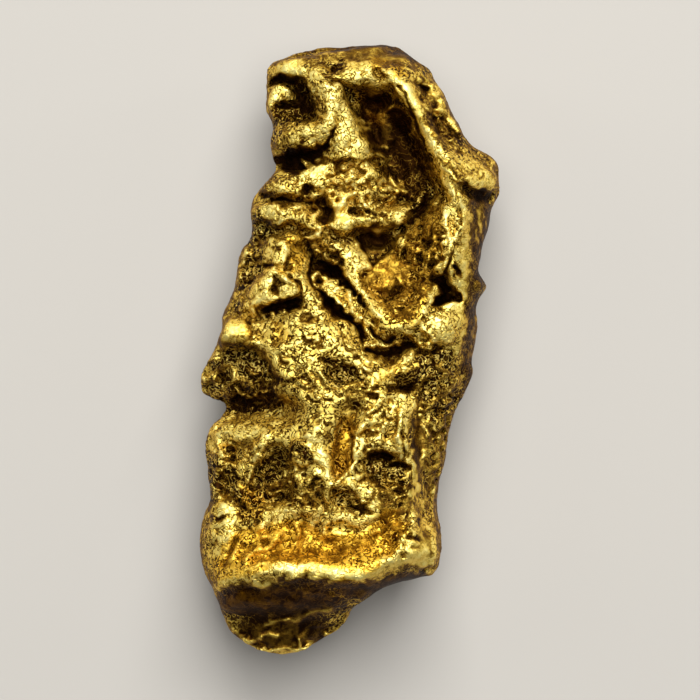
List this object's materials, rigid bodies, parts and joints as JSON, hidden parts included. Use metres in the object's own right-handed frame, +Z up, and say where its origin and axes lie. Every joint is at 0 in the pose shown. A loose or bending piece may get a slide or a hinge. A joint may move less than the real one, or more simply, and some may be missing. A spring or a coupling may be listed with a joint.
{
  "type": "gold nugget",
  "caption": "Long natural gold nugget lying on its worn back, with a deep scooped hollow at the head, knobbly left edge, etched cheek and a folded crest over the toe.",
  "frame": {"origin": "on the surface it rests on, under the middle of the outline", "axes": "+Z up out of the face, +Y from the toe to the head, +X to the nugget's right as its face is seen from above"},
  "size_m": [0.0147, 0.03, 0.0084],
  "materials": {
    "native_gold": "naturally worn and finely etched, with iron-stained hollows"
  },
  "bodies": {
    "root": {"nugget": "native_gold"}
  },
  "joints": []
}
